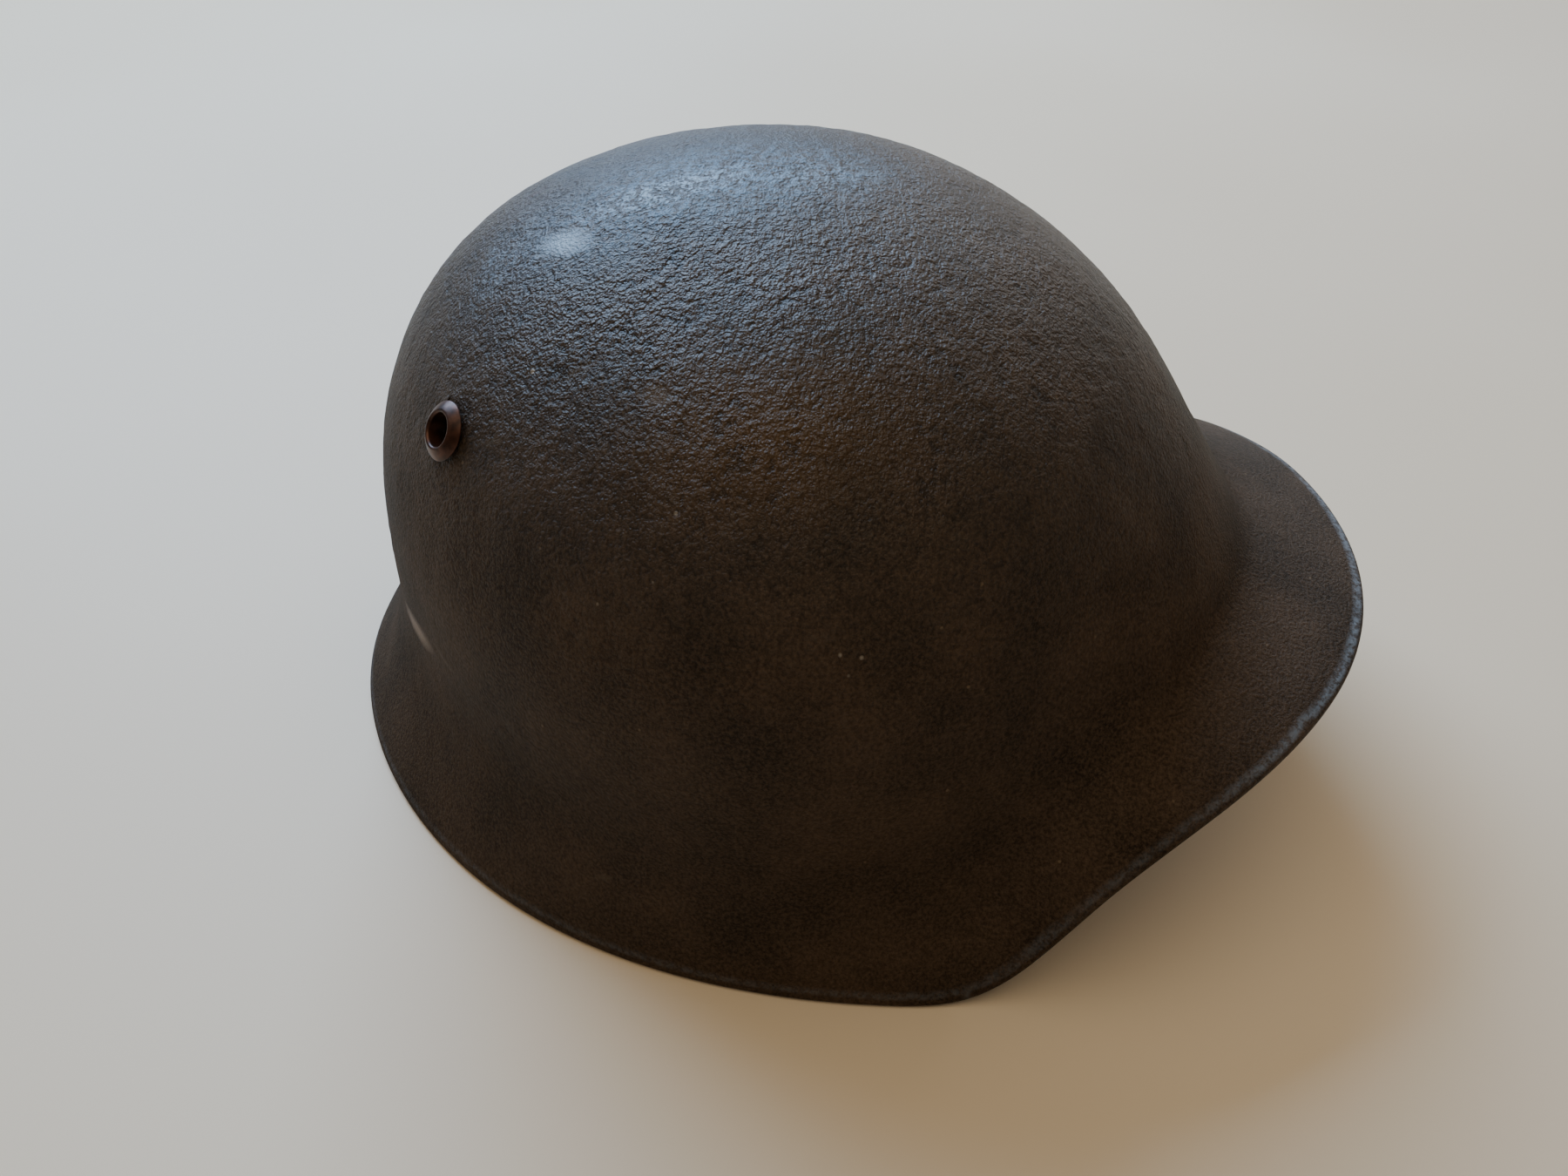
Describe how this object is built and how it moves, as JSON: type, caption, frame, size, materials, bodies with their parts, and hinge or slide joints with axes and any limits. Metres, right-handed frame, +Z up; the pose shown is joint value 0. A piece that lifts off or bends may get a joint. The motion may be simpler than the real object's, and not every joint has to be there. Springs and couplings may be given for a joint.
{
  "type": "steel military helmet",
  "caption": "Pressed steel helmet with a round dome, short flat visor, deep flared skirt, rolled rim and hollow vent rivets.",
  "frame": {"origin": "on the floor under the middle of the helmet's footprint, where the rim stands", "axes": "+Z up through the crown, -Y towards the visor, +X towards the wearer's left"},
  "size_m": [0.2558, 0.304, 0.1671],
  "materials": {
    "painted_steel": "rough, aged, satin",
    "worn_steel": "worn smooth, satin"
  },
  "bodies": {
    "root": {"shell": "painted_steel", "vent_rivet_left": "worn_steel", "vent_rivet_right": "worn_steel"}
  },
  "joints": []
}
